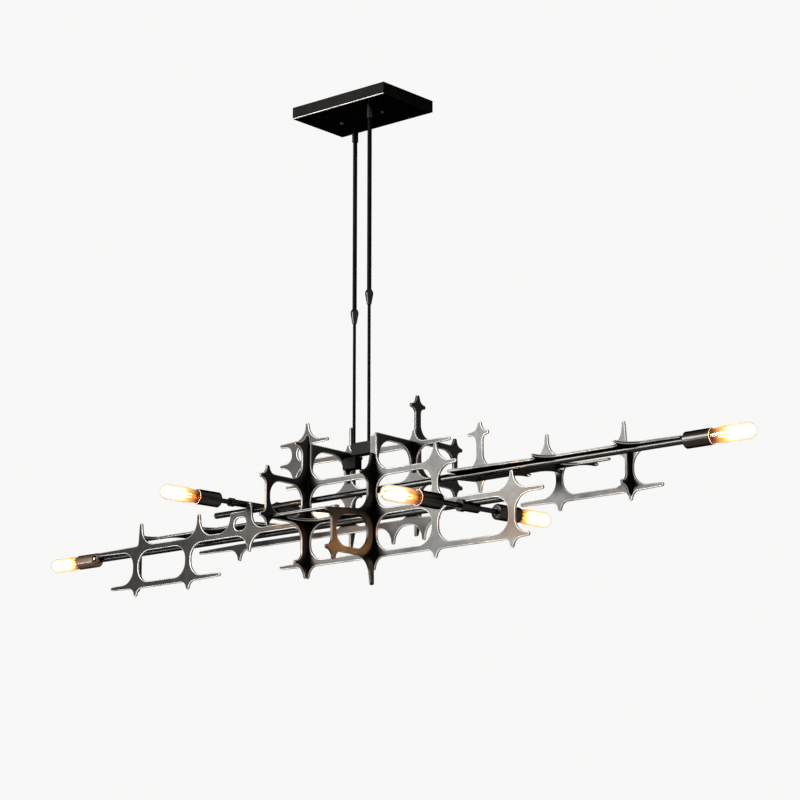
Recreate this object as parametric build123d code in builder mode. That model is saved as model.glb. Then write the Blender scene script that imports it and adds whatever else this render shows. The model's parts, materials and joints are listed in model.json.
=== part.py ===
"""Linear iron chandelier: two tubes and a thorned plate lattice hung on two telescopic rods.

The origin is the middle of the ceiling face, +Z is up and X runs along the chandelier.
Heights of the lamp body are given from its own middle level, body_drop below the ceiling.
"""

import os
from math import cos, hypot, radians, sin, tan

from build123d import *

os.makedirs("parts", exist_ok=True)

# Ceiling canopy and its fixings
canopy_length = 200.0
canopy_width = 125.0
canopy_height = 20.0
canopy_wall = 1.5
canopy_edge_radius = 1.2
strap_length = 112.0
strap_width = 22.0
strap_thickness = 2.5
strap_bolt_spacing = 69.85
strap_bolt_radius = 2.5
strap_centre_radius = 5.5
screw_spacing = 88.9
screw_radius = 2.0
screw_knob_radius = 3.4
screw_knob_height = 6.0

# Telescopic suspension rods
body_drop = 677.0
rod_x = 50.0
upper_rod_radius = 3.6
upper_rod_top = 10.0
lower_rod_radius = 2.6
lower_rod_overlap = 45.0
collar_radius = 5.2
collar_length = 25.0
collar_neck_wall = 0.8
collar_neck_length = 8.0
locknut_across_flats = 12.0
locknut_height = 4.0
coupler_height = 24.0
coupler_radius = 6.5
coupler_shoulder = 4.0
coupler_lip = 0.8
coupler_level = 330.0

# Main tubes
tube_radius = 5.0
tube_bore = 3.8
tube_y = 42.0
tube_level = 12.0
tube_reach = 653.0
tube_inner_end = 283.0

# Plate that the lattices are cut from: its members, thorns and corners
plate_thickness = 4.0
member_width = 10.0
post_width = 13.0
spine_width = 14.0
thorn_tip = 6.0
corner_radius = 28.0
edge_radius = 4.0
bud_thorn = 18.0
stub_thorn = 24.0
short_thorn = 33.0
spike_thorn = 43.0
middle_thorn = 48.0
long_thorn = 60.0
reach_thorn = 75.0
arm_thorn = 95.0

# Grid of the lattices: levels above the middle of the body, and columns along X and Y
level_bottom = -92.0
level_low = -25.0
level_high = 37.0
level_top = 100.0
column_b = 70.0
column_c = 195.0
column_d = 344.0
near_column = 144.0
near_drop = 9.0
far_column = 152.0
far_rise = 8.0
finial_level = 164.0
horn_column = 205.0
back_column = -190.0
back_cross = -162.0
back_cross_level = 135.0
back_low_left = -315.0
back_low_middle = 26.0
back_low_overhang = 20.0
web_gusset = 42.0
shelf_inset = 8.0
shelf_bar_x = 24.0

# Arms: the lattices that run on beside the tubes, and the loop, flanges, bridges and fins on them
right_post_inner = 360.0
right_post_outer = 492.0
left_post_inner = -339.0
left_post_outer = -463.0
left_foot_rise = 4.0
inner_spike_shift = 24.0
outer_spike_shift = 11.0
hook_column = -199.0
loop_length = 38.0
loop_level = 6.0
flange_gap = 34.0
flange_root_width = 28.0
flange_tab_width = 13.0
flange_tab_spacing = 150.0
flange_tab_gap = 100.0
flange_tip_gap = 7.0
bridge_start = 190.0
bridge_far_start = 212.0
bridge_far_end = 400.0
bridge_far_line = 22.0
inner_prong_gap = 56.0
outer_prong_gap = 72.0
fin_width = 10.0
fin_foot_rise = 8.0

# Hanger bars that the rods screw into
hanger_width = 16.0
hanger_height = 20.0
front_hanger_start = 20.0
back_hanger_start = 40.0
hanger_top = 93.0
hanger_socket_depth = 14.0
hanger_edge_radius = 1.0

# Cross arms with a lamp at each end
front_hub_radius = 8.0
front_hub_length = 40.0
front_hub_offset = 10.0
back_hub_radius = 5.5
back_hub_length = 76.0
back_hub_x = -212.0
hub_ring_wall = 1.6
hub_ring_length = 9.0
cross_rod_radius = 4.0
cross_arm_turn = 84.0
cross_arm_half = 60.0

# Lampholders and lamps
socket_radius = 12.5
socket_bore = 11.0
socket_length = 48.0
socket_back_wall = 3.0
socket_back_chamfer = 3.0
insert_length = 24.0
insert_floor = 6.0
insert_bore = 7.0
cap_length = 22.0
cap_tip_radius = 2.5
bulb_reach = 119.0
bulb_radius = 12.5
bulb_foot_radius = 7.4
bulb_mouth_gap = 1.2
bulb_shoulder = 14.0
bulb_taper = 24.0
glass_wall = 0.8
stem_radius = 2.4
stem_length = 28.0
filament_radius = 0.5
filament_spread = 3.6
filament_length = 44.0
filament_seat = 2.0

# Clearances
fit_clearance = 0.1
sliding_clearance = 0.3

# Places that follow from the sizes above
half_plate = plate_thickness / 2
centre_plate_y = tube_y + tube_radius + half_plate
wing_start = centre_plate_y + half_plate
web_end = centre_plate_y - half_plate
spine_y = wing_start + spine_width / 2
flange_rise = tube_radius + half_plate
column_a = -column_b
left_joint = (column_a + hook_column) / 2
right_joint = (horn_column + right_post_inner) / 2
rod_y = web_end - hanger_width / 2
upper_rod_bore = lower_rod_radius + sliding_clearance
collar_neck_radius = upper_rod_radius + collar_neck_wall
coupler_z = coupler_level - body_drop
canopy_floor = -canopy_height + canopy_wall

# Ways in which a thorn can point on its plate
up = (0, 1)
down = (0, -1)
left = (-1, 0)
right = (1, 0)

# Shares of a straight edge that a rounded corner may take, beside another like it and beside a small one
corner_share = 0.46
length_share = 0.94

# Angle from which two edges count as one
straight_angle = 179.5


def strip(start, end, start_width, end_width):
    """Outline of a straight strip between two points."""
    length = hypot(end[0] - start[0], end[1] - start[1])
    across = ((start[1] - end[1]) / length, (end[0] - start[0]) / length)
    sides = [(start, start_width / 2), (end, end_width / 2), (end, -end_width / 2), (start, -start_width / 2)]
    corners = [(point[0] + across[0] * half, point[1] + across[1] * half) for point, half in sides]
    return corners


def bar(start, end):
    """Bar as wide as a rail, in any direction."""
    return strip(start, end, member_width, member_width)


def thorn(node, way, length):
    """Thorn that tapers from a node to its blunt tip."""
    root_width = member_width if way in (left, right) else post_width
    tip = (node[0] + way[0] * length, node[1] + way[1] * length)
    return strip(node, tip, root_width, thorn_tip)


def flush_strip(face, side, width, bottom, top, foot=0.0, head=0.0):
    """Upright strip with one edge along a plate's face, tapered over its foot and its head."""
    tip_edge = face + side * thorn_tip
    outer_edge = face + side * width
    return [
        (face, bottom - foot),
        (tip_edge, bottom - foot),
        (outer_edge, bottom),
        (outer_edge, top),
        (tip_edge, top + head),
        (face, top + head),
    ]


def rails(level, *columns):
    """Level members from column to column."""
    return [bar((start, level), (end, level)) for start, end in zip(columns, columns[1:])]


def posts(column, *levels):
    """Upright members from level to level."""
    spans = zip(levels, levels[1:])
    return [strip((column, start), (column, end), post_width, post_width) for start, end in spans]


def outline_points(wire):
    """Corner points of a closed outline of straight edges, in order round it."""
    edges = list(wire.edges())
    first = edges.pop(0)
    points = [first @ 0, first @ 1]
    while len(edges) > 1:
        gaps = [min((edge @ 0 - points[-1]).length, (edge @ 1 - points[-1]).length) for edge in edges]
        following = edges.pop(gaps.index(min(gaps)))
        ends = sorted((following @ 0, following @ 1), key=lambda end: (end - points[-1]).length)
        points.append(ends[1])
    return points


def true_corners(points):
    """The points of an outline at which it really turns."""
    corners = []
    for before, point, after in zip(points[-1:] + points[:-1], points, points[1:] + points[:1]):
        if (before - point).get_angle(after - point) < straight_angle:
            corners.append(point)
    return corners


def rounded_outline(wire, face, mode=Mode.ADD):
    """Redraw an outline with its inner corners swept wide and its outer corners rounded small."""
    points = true_corners(outline_points(wire))
    turns = []
    for before, point, after in zip(points[-1:] + points[:-1], points, points[1:] + points[:1]):
        inward = ((before - point).normalized() + (after - point).normalized()).normalized()
        outer = face.is_inside(point + inward * sliding_clearance)
        half_angle = radians((before - point).get_angle(after - point)) / 2
        turns.append((point, half_angle, (edge_radius if outer else corner_radius) / tan(half_angle), outer))
    corners = []
    for before, turn, after in zip(turns[-1:] + turns[:-1], turns, turns[1:] + turns[:1]):
        point, half_angle, run, outer = turn
        for neighbour, _, neighbour_run, neighbour_outer in (before, after):
            length = (neighbour - point).length
            taken = min(neighbour_run, corner_share * length)
            room = length_share * (length - taken) if neighbour_outer and not outer else corner_share * length
            run = min(run, room)
        back = (before[0] - point).normalized()
        ahead = (after[0] - point).normalized()
        radius = run * tan(half_angle)
        middle = point + (back + ahead).normalized() * (radius / sin(half_angle) - radius)
        corners.append((point + back * run, middle, point + ahead * run))
    with BuildLine() as loop:
        for corner, following in zip(corners, corners[1:] + corners[:1]):
            ThreePointArc(*corner)
            Line(corner[2], following[0])
    make_face(loop.edges(), mode=mode)


def lattice_plate(plane, *outlines):
    """Sheet cut to the joined outlines, with its mid face on the plane."""
    with BuildSketch() as grid:
        for outline in outlines:
            Polygon(*outline, align=None)
    face = grid.sketch.faces()[0]
    with BuildPart() as plate:
        with BuildSketch(plane):
            rounded_outline(face.outer_wire(), face)
            for hole in face.inner_wires():
                rounded_outline(hole, face, Mode.SUBTRACT)
        extrude(amount=half_plate, both=True)
    return plate.part


def cut_plate(part, joint, keep):
    """The part of a plate on one side of the butt joint with its neighbour."""
    with BuildPart() as cut:
        add(part)
        split(bisect_by=Plane.YZ.offset(joint), keep=keep)
    return cut.part


def save(part, name):
    """Label a finished piece and write it as its own STEP file."""
    part.label = name
    export_step(part, f"parts/{name}.step")


def lengthwise_plane(y):
    """Upright plane along the chandelier, with X to its right."""
    return Plane(origin=(0, y, -body_drop), x_dir=(1, 0, 0), z_dir=(0, -1, 0))


def crosswise_plane(x):
    """Upright plane across the chandelier, with Y to its right."""
    return Plane(origin=(x, 0, -body_drop), x_dir=(0, 1, 0), z_dir=(1, 0, 0))


def axis_plane(origin, direction):
    """Upright plane through a level axis: its y runs along the axis and its x is the radius."""
    return Plane(origin=origin, x_dir=(0, 0, 1), z_dir=Vector(0, 0, 1).cross(direction))


# Canopy cover: folded sheet tray, open to the ceiling
rod_places = [(rod_x, -rod_y), (-rod_x, rod_y)]
screw_places = [(-screw_spacing / 2, 0), (screw_spacing / 2, 0)]
with BuildPart() as canopy_cover:
    with BuildSketch(Plane.XY.offset(-canopy_height)):
        Rectangle(canopy_length, canopy_width)
    extrude(amount=canopy_height)
    outer_edges = canopy_cover.edges().filter_by(Axis.Z) + canopy_cover.faces().sort_by(Axis.Z)[0].edges()
    fillet(outer_edges, canopy_edge_radius)
    with BuildSketch(Plane.XY.offset(canopy_floor)):
        Rectangle(canopy_length - 2 * canopy_wall, canopy_width - 2 * canopy_wall)
    extrude(amount=canopy_height, mode=Mode.SUBTRACT)
    with BuildSketch(Plane.XY.offset(-canopy_height)):
        with Locations(*rod_places):
            Circle(collar_neck_radius + fit_clearance)
        with Locations(*screw_places):
            Circle(screw_radius + fit_clearance)
    extrude(amount=canopy_wall, mode=Mode.SUBTRACT)
save(canopy_cover.part, "canopy_cover")

# Mounting strap: flat bar that is bolted to the ceiling box and holds the canopy screws
with BuildPart() as mounting_strap:
    with BuildSketch(Plane.XY.offset(-strap_thickness)):
        SlotOverall(strap_length, strap_width)
        Circle(strap_centre_radius, mode=Mode.SUBTRACT)
        with Locations((-strap_bolt_spacing / 2, 0), (strap_bolt_spacing / 2, 0)):
            Circle(strap_bolt_radius, mode=Mode.SUBTRACT)
        with Locations(*screw_places):
            Circle(screw_radius + fit_clearance, mode=Mode.SUBTRACT)
    extrude(amount=strap_thickness)
save(mounting_strap.part, "mounting_strap")

# Canopy screws: threaded shank up into the strap, domed knob under the canopy
knob_tip = -canopy_height - screw_knob_height
knob_dome = knob_tip + screw_knob_radius
with BuildPart() as canopy_screws:
    for place_x, place_y in screw_places:
        with BuildSketch(Plane(origin=(place_x, place_y, 0), x_dir=(1, 0, 0), z_dir=(0, -1, 0))):
            with BuildLine():
                Polyline(
                    (0, -sliding_clearance),
                    (screw_radius, -sliding_clearance),
                    (screw_radius, -canopy_height),
                    (screw_knob_radius, -canopy_height),
                    (screw_knob_radius, knob_dome),
                )
                RadiusArc((screw_knob_radius, knob_dome), (0, knob_tip), screw_knob_radius)
                Line((0, knob_tip), (0, -sliding_clearance))
            make_face()
        revolve(axis=Axis((place_x, place_y, 0), (0, 0, 1)))
save(canopy_screws.part, "canopy_screws")

# Rod collars: turned sleeves whose necks pass up through the canopy floor
with BuildPart() as rod_collars:
    with BuildSketch(Plane.XY.offset(-canopy_height)):
        with Locations(*rod_places):
            Circle(collar_radius)
            Circle(upper_rod_radius + fit_clearance, mode=Mode.SUBTRACT)
    extrude(amount=-collar_length)
    with BuildSketch(Plane.XY.offset(-canopy_height)):
        with Locations(*rod_places):
            Circle(collar_neck_radius)
            Circle(upper_rod_radius + fit_clearance, mode=Mode.SUBTRACT)
    extrude(amount=collar_neck_length)
save(rod_collars.part, "rod_collars")

# Locknuts: hexagon nuts on the collar necks, inside the canopy
with BuildPart() as rod_locknuts:
    with BuildSketch(Plane.XY.offset(canopy_floor)):
        with Locations(*rod_places):
            RegularPolygon(locknut_across_flats / 2, 6, major_radius=False)
            Circle(collar_neck_radius + fit_clearance, mode=Mode.SUBTRACT)
    extrude(amount=locknut_height)
save(rod_locknuts.part, "rod_locknuts")

# Suspension rods: the lower rod slides in the upper tube
for side, (place_x, place_y) in zip(("front", "back"), rod_places):
    with BuildPart() as upper_rod:
        with BuildSketch(Plane(origin=(place_x, place_y, coupler_z))):
            Circle(upper_rod_radius)
            Circle(upper_rod_bore, mode=Mode.SUBTRACT)
        extrude(amount=-upper_rod_top - coupler_z)
    save(upper_rod.part, f"upper_rod_{side}")

    lower_rod_foot = hanger_top - hanger_socket_depth - body_drop
    with BuildPart() as lower_rod:
        with BuildSketch(Plane(origin=(place_x, place_y, lower_rod_foot))):
            Circle(lower_rod_radius)
        extrude(amount=coupler_z + lower_rod_overlap - lower_rod_foot)
    save(lower_rod.part, f"lower_rod_{side}")

# Couplers: acorn sleeves on the foot of each upper rod that grip the lower rod
coupler_top = (upper_rod_radius + coupler_lip, coupler_height / 2)
coupler_belly = (coupler_radius, coupler_shoulder)
coupler_foot = (lower_rod_radius + sliding_clearance + coupler_lip, -coupler_height / 2)
with BuildPart() as rod_couplers:
    for place_x, place_y in rod_places:
        with BuildSketch(Plane(origin=(place_x, place_y, coupler_z), x_dir=(1, 0, 0), z_dir=(0, -1, 0))):
            with BuildLine():
                Polyline(
                    coupler_top,
                    (upper_rod_radius + fit_clearance, coupler_height / 2),
                    (upper_rod_radius + fit_clearance, 0),
                    (upper_rod_bore, 0),
                    (upper_rod_bore, -coupler_height / 2),
                    coupler_foot,
                )
                cone = Line(coupler_foot, coupler_belly)
                TangentArc(coupler_belly, coupler_top, tangent=cone % 1)
            make_face()
        revolve(axis=Axis((place_x, place_y, 0), (0, 0, 1)))
save(rod_couplers.part, "rod_couplers")

# Hanger bars: blocks in the corners between a lattice and a cross web, tapped for the lower rods
hanger_ends = (("front", 1, front_hanger_start), ("back", -1, back_hanger_start))
for side, turned, hanger_start in hanger_ends:
    hanger_length = column_b - half_plate - hanger_start
    bar_middle = turned * (hanger_start + hanger_length / 2)
    with BuildPart() as hanger_bar:
        with BuildSketch(Plane(origin=(bar_middle, -turned * rod_y, hanger_top - body_drop))):
            Rectangle(hanger_length, hanger_width)
        extrude(amount=-hanger_height)
        fillet(hanger_bar.edges().filter_by(Axis.X), hanger_edge_radius)
        with BuildSketch(Plane(origin=(turned * rod_x, -turned * rod_y, hanger_top - body_drop))):
            Circle(lower_rod_radius + fit_clearance)
        extrude(amount=-hanger_socket_depth, mode=Mode.SUBTRACT)
    save(hanger_bar.part, f"hanger_bar_{side}")

# Main tubes: each runs from its end lamp to past the middle, one a little above the other
for side, turned in (("front", 1), ("back", -1)):
    tube_start = (-turned * tube_inner_end, -turned * tube_y, turned * tube_level - body_drop)
    with BuildPart() as main_tube:
        with BuildSketch(Plane(origin=tube_start, x_dir=(0, 1, 0), z_dir=(turned, 0, 0))):
            Circle(tube_radius)
            Circle(tube_bore, mode=Mode.SUBTRACT)
        extrude(amount=tube_inner_end + tube_reach + socket_back_wall)
    save(main_tube.part, f"main_tube_{side}")

# Front lattice: four posts on three rails, in front of the right-hand tube
front_lattice = lattice_plate(
    lengthwise_plane(-centre_plate_y),
    *rails(level_bottom, column_a, column_b, column_c, column_d),
    *rails(level_low, hook_column, column_a, column_b, column_c, column_d),
    *rails(level_high, column_a, column_b, column_c),
    *posts(column_a, level_bottom, level_low, level_high, level_top),
    *posts(column_b, level_bottom, level_low, level_high, level_top),
    *posts(column_c, level_bottom, level_low, level_high),
    *posts(column_d, level_bottom, level_low),
    thorn((column_a, level_top), up, bud_thorn),
    thorn((column_a, level_high), left, middle_thorn),
    thorn((column_a, level_bottom), left, long_thorn),
    thorn((column_a, level_bottom), down, stub_thorn),
    thorn((column_b, level_bottom), down, stub_thorn),
    thorn((column_c, level_high), up, short_thorn),
    thorn((column_c, level_high), right, spike_thorn),
    thorn((column_c, level_bottom), down, bud_thorn),
    thorn((column_d, level_low), up, short_thorn),
    thorn((column_d, level_low), right, long_thorn),
    thorn((column_d, level_bottom), right, short_thorn),
    thorn((column_d, level_bottom), down, bud_thorn),
)
save(cut_plate(front_lattice, left_joint, Keep.TOP), "front_lattice")

# Left arm lattice: runs on from the front lattice at its two lower levels, with a hook and a loop
left_foot = level_bottom + left_foot_rise
loop_end = hook_column - loop_length
left_arm_lattice = lattice_plate(
    lengthwise_plane(-centre_plate_y),
    *rails(level_low, left_post_outer, left_post_inner, hook_column, column_a),
    *rails(left_foot, left_post_outer, left_post_inner),
    *posts(left_post_inner, left_foot, level_low),
    *posts(left_post_outer, left_foot, level_low),
    *posts(hook_column, level_low, loop_level),
    bar((loop_end - member_width / 2, loop_level), (hook_column, loop_level)),
    bar((loop_end, level_low), (loop_end, loop_level + member_width / 2)),
    thorn((hook_column, loop_level), up, bud_thorn),
    thorn((hook_column, level_low), down, short_thorn),
    thorn((left_post_inner + inner_spike_shift, level_low), up, spike_thorn),
    thorn((left_post_outer + outer_spike_shift, level_low), up, spike_thorn),
    thorn((left_post_outer, level_low), left, arm_thorn),
    thorn((left_post_inner, left_foot), right, reach_thorn),
    thorn((left_post_inner, left_foot), down, bud_thorn),
    thorn((left_post_outer, left_foot), left, long_thorn),
    thorn((left_post_outer, left_foot), down, bud_thorn),
)
save(cut_plate(left_arm_lattice, left_joint, Keep.BOTTOM), "left_arm_lattice")

# Back lattice: taller plate behind the left-hand tube, with a cross at its left and a horn at its right
back_low_right = column_b + back_low_overhang
back_lattice = lattice_plate(
    lengthwise_plane(centre_plate_y),
    *rails(level_low, back_low_left, column_a, back_low_middle, back_low_right),
    *rails(level_high, column_a, column_b, horn_column, right_post_inner),
    *rails(level_top, back_column, column_a, column_b),
    *posts(column_a, level_low, level_high, level_top),
    *posts(column_b, level_low, level_high, level_top),
    *posts(horn_column, level_high, level_top),
    *posts(back_column, level_top, back_cross_level),
    thorn((back_column, back_cross_level), right, reach_thorn),
    thorn((back_column, back_cross_level), left, short_thorn),
    thorn((back_cross, back_cross_level), up, short_thorn),
    thorn((back_column, level_top), left, short_thorn),
    thorn((back_column, level_top), down, short_thorn),
    thorn((column_a, level_top), up, bud_thorn),
    thorn((column_a, level_high), left, long_thorn),
    thorn((column_b, level_top), up, stub_thorn),
    thorn((column_b, level_top), right, reach_thorn),
    thorn((horn_column, level_top), up, bud_thorn),
    thorn((horn_column, level_top), left, stub_thorn),
    thorn((horn_column, level_top), right, bud_thorn),
    thorn((horn_column, level_high), down, short_thorn),
    thorn((back_low_left, level_low), left, arm_thorn),
    thorn((back_low_left, level_low), down, stub_thorn),
    thorn((back_low_middle, level_low), down, short_thorn),
    thorn((back_low_right, level_low), down, short_thorn),
    thorn((back_low_right, level_low), right, short_thorn),
)
save(cut_plate(back_lattice, right_joint, Keep.BOTTOM), "back_lattice")

# Right arm lattice: runs on from the back lattice at its two lower levels
right_arm_lattice = lattice_plate(
    lengthwise_plane(centre_plate_y),
    *rails(level_high, horn_column, right_post_inner, right_post_outer),
    *rails(level_low, right_post_inner, right_post_outer),
    *posts(right_post_inner, level_low, level_high),
    *posts(right_post_outer, level_low, level_high),
    thorn((right_post_inner - inner_spike_shift, level_high), up, spike_thorn),
    thorn((right_post_outer - outer_spike_shift, level_high), up, spike_thorn),
    thorn((right_post_outer, level_high), right, arm_thorn),
    thorn((right_post_inner, level_low), left, reach_thorn),
    thorn((right_post_inner, level_low), down, bud_thorn),
    thorn((right_post_outer, level_low), right, long_thorn),
    thorn((right_post_outer, level_low), down, bud_thorn),
)
save(cut_plate(right_arm_lattice, right_joint, Keep.TOP), "right_arm_lattice")

# Near wings: cross plates welded to the front face of the front lattice
near_wing_left = lattice_plate(
    crosswise_plane(column_a),
    flush_strip(-wing_start, -1, spine_width, level_bottom, level_top, foot=stub_thorn, head=bud_thorn),
    bar((-near_column, level_low), (-spine_y, level_low)),
    bar((-near_column, level_high), (-spine_y, level_high)),
    bar((-near_column, level_low), (-near_column, level_high)),
    thorn((-spine_y, level_top), left, stub_thorn),
    thorn((-spine_y, level_bottom), left, stub_thorn),
    thorn((-near_column, level_high), left, bud_thorn),
    thorn((-near_column, level_high), up, bud_thorn),
    thorn((-near_column, level_low), left, bud_thorn),
    thorn((-near_column, level_low), down, bud_thorn),
)
save(near_wing_left, "near_wing_left")
near_top = level_low - near_drop
near_wing_right = lattice_plate(
    crosswise_plane(column_b),
    flush_strip(-wing_start, -1, spine_width, level_bottom, level_high, foot=middle_thorn, head=short_thorn),
    bar((-near_column, level_bottom), (-spine_y, level_bottom)),
    bar((-near_column, near_top), (-spine_y, level_low)),
    bar((-near_column, level_bottom), (-near_column, near_top)),
    thorn((-spine_y, level_high), left, stub_thorn),
    thorn((-near_column, near_top), left, bud_thorn),
    thorn((-near_column, level_bottom), left, bud_thorn),
    thorn((-near_column, level_bottom), down, bud_thorn),
)
save(near_wing_right, "near_wing_right")

# Far wings: cross plates welded to the rear face of the back lattice, one with the finial
far_wing_left = lattice_plate(
    crosswise_plane(column_a),
    flush_strip(wing_start, 1, spine_width, level_low, level_top, foot=short_thorn, head=middle_thorn),
    thorn((spine_y, level_top), right, stub_thorn),
    thorn((spine_y, level_high), right, stub_thorn),
)
save(far_wing_left, "far_wing_left")
finial_y = wing_start + post_width / 2
far_low = level_high + far_rise
far_top = level_top + far_rise
far_wing_right = lattice_plate(
    crosswise_plane(column_b),
    flush_strip(wing_start, 1, spine_width, level_low, level_top, foot=stub_thorn),
    *posts(finial_y, level_top, finial_level),
    bar((spine_y, far_low), (far_column, far_low)),
    bar((spine_y, far_top), (far_column, far_top)),
    bar((far_column, far_low), (far_column, far_top)),
    thorn((finial_y, finial_level), up, bud_thorn),
    thorn((finial_y, finial_level), left, bud_thorn),
    thorn((finial_y, finial_level), right, bud_thorn),
    thorn((far_column, far_top), up, bud_thorn),
    thorn((far_column, far_top), right, bud_thorn),
    thorn((far_column, far_low), right, bud_thorn),
    thorn((far_column, far_low), down, bud_thorn),
)
save(far_wing_right, "far_wing_right")

# Cross webs: bars with gusseted ends that join the front and back lattices at their top level
web_low = level_top - member_width / 2
web_high = level_top + member_width / 2
for side, web_x in (("left", column_a), ("right", column_b)):
    web_bar = lattice_plate(
        crosswise_plane(web_x),
        bar((-web_end, level_top), (web_end, level_top)),
        flush_strip(-web_end, 1, post_width, web_low, web_high, foot=web_gusset),
        flush_strip(web_end, -1, post_width, web_low, web_high, foot=web_gusset),
    )
    save(web_bar, f"cross_web_{side}")

# Flanges and bridges: level plates along the top of each tube, and from there across to the arm lattice
tube_edge = tube_radius - tube_y
flange_start = column_c + flange_gap
tab_outer = tube_reach - flange_tab_gap
tab_inner = tab_outer - flange_tab_spacing
flange_tip = tube_reach - flange_tip_gap
tab_root = tube_edge - post_width / 2
bridge_far_edge = bridge_far_line + member_width / 2
right_prongs = (right_post_inner - inner_prong_gap, right_post_inner, right_post_inner + outer_prong_gap)
left_prongs = (-left_post_inner - inner_spike_shift, -left_post_outer - outer_spike_shift)
for side, turned, prongs in (("right", 1, right_prongs), ("left", -1, left_prongs)):
    flange_level = turned * tube_level + flange_rise - body_drop
    flange_plane = Plane(origin=(0, 0, flange_level), x_dir=(turned, 0, 0), z_dir=(0, 0, 1))
    tube_flange = lattice_plate(
        flange_plane,
        [
            (flange_start, tube_edge - flange_root_width),
            (tab_inner, tube_edge - flange_tab_width),
            (tab_outer, tube_edge - flange_tab_width),
            (flange_tip, tube_edge - thorn_tip),
            (flange_tip, tube_edge),
            (flange_start, tube_edge),
        ],
        thorn((tab_inner, tab_root), down, short_thorn),
        thorn((tab_outer, tab_root), down, short_thorn),
    )
    save(tube_flange, f"{side}_tube_flange")

    side_flange = lattice_plate(
        flange_plane,
        [
            (bridge_start, tube_edge),
            (tab_outer, tube_edge),
            (tab_outer, tube_edge + thorn_tip),
            (bridge_far_end, tube_edge + member_width),
            (bridge_far_end, bridge_far_edge),
            (bridge_far_start, bridge_far_edge),
            (bridge_start, tube_edge + member_width),
        ],
        thorn((bridge_far_end, bridge_far_line), right, reach_thorn),
        *[bar((prong, bridge_far_line), (prong, web_end)) for prong in prongs],
    )
    save(side_flange, f"{side}_side_flange")

# Arm fins: small upright blades across the outer posts of the arm lattices
right_fin = lattice_plate(
    crosswise_plane(right_post_outer),
    flush_strip(web_end, -1, fin_width, level_low + fin_foot_rise, level_high, foot=bud_thorn),
    thorn((web_end - fin_width / 2, level_low + fin_foot_rise), left, bud_thorn),
)
left_fin = lattice_plate(
    crosswise_plane(left_post_outer),
    flush_strip(-web_end, 1, fin_width, left_foot + fin_foot_rise, level_low, foot=bud_thorn),
    thorn((fin_width / 2 - web_end, left_foot + fin_foot_rise), right, bud_thorn),
)
with BuildPart() as arm_fins:
    add(right_fin)
    add(left_fin)
save(arm_fins.part, "arm_fins")

# Near shelf: level plate between the near wings, at the low level of the front lattice
shelf_side = column_b - half_plate
shelf_edge = near_column - shelf_inset
front_line = -wing_start - member_width / 2
near_line = member_width / 2 - shelf_edge
side_line = member_width / 2 - shelf_side
near_shelf = lattice_plate(
    Plane(origin=(0, 0, level_low - body_drop), x_dir=(1, 0, 0), z_dir=(0, 0, 1)),
    bar((-shelf_side, front_line), (shelf_side, front_line)),
    bar((-shelf_side, near_line), (shelf_side, near_line)),
    bar((side_line, -shelf_edge), (side_line, -wing_start)),
    bar((shelf_bar_x, near_line), (shelf_bar_x, front_line)),
)
save(near_shelf, "near_shelf")

# Cross arms: a rod through a welded hub with a ring at its near end, and a lamp at each end
arm_way = Vector(cos(radians(cross_arm_turn)), sin(radians(cross_arm_turn)), 0)
front_hub_x = (column_c + column_d) / 2 - front_hub_offset
front_hub_level = level_low - member_width / 2 - front_hub_radius
back_hub_level = tube_level + tube_radius + back_hub_radius
hub_sizes = {
    "front": (front_hub_radius, front_hub_length),
    "back": (back_hub_radius, back_hub_length),
}
hub_places = {
    "front": Vector(front_hub_x, -centre_plate_y, front_hub_level - body_drop),
    "back": Vector(back_hub_x, -tube_y, back_hub_level - body_drop),
}
for side, hub_place in hub_places.items():
    hub_radius, hub_length = hub_sizes[side]
    with BuildPart() as cross_hub:
        with BuildSketch(Plane(origin=hub_place - arm_way * (hub_length / 2), z_dir=arm_way)):
            Circle(hub_radius)
            Circle(cross_rod_radius + fit_clearance, mode=Mode.SUBTRACT)
        extrude(amount=hub_length)
        with BuildSketch(Plane(origin=hub_place - arm_way * (hub_length / 2), z_dir=arm_way)):
            Circle(hub_radius + hub_ring_wall)
            Circle(hub_radius, mode=Mode.SUBTRACT)
        extrude(amount=hub_ring_length)
    save(cross_hub.part, f"cross_hub_{side}")

    rod_half = cross_arm_half + socket_back_wall
    with BuildPart() as cross_rod:
        with BuildSketch(Plane(origin=hub_place - arm_way * rod_half, z_dir=arm_way)):
            Circle(cross_rod_radius)
        extrude(amount=2 * rod_half)
    save(cross_rod.part, f"cross_rod_{side}")

# Lamps: where the back of each lampholder sits, which way it points and the tube it is fixed on
lamps = {
    "right_end": (Vector(tube_reach, -tube_y, tube_level - body_drop), Vector(1, 0, 0), tube_radius),
    "left_end": (Vector(-tube_reach, tube_y, -tube_level - body_drop), Vector(-1, 0, 0), tube_radius),
}
for side, hub_place in hub_places.items():
    lamps[f"{side}_near"] = (hub_place - arm_way * cross_arm_half, -arm_way, cross_rod_radius)
    lamps[f"{side}_far"] = (hub_place + arm_way * cross_arm_half, arm_way, cross_rod_radius)

# Lampholder covers: turned steel cups with a chamfered back
for name, (back, way, stem) in lamps.items():
    bore = stem + fit_clearance
    with BuildPart() as socket_cover:
        with BuildSketch(axis_plane(back, way)):
            with BuildLine():
                Polyline(
                    (bore, 0),
                    (socket_radius - socket_back_chamfer, 0),
                    (socket_radius, socket_back_chamfer),
                    (socket_radius, socket_length),
                    (socket_bore, socket_length),
                    (socket_bore, socket_back_wall),
                    (bore, socket_back_wall),
                    close=True,
                )
            make_face()
        revolve(axis=Axis(back, way))
    save(socket_cover.part, f"socket_{name}")

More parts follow.
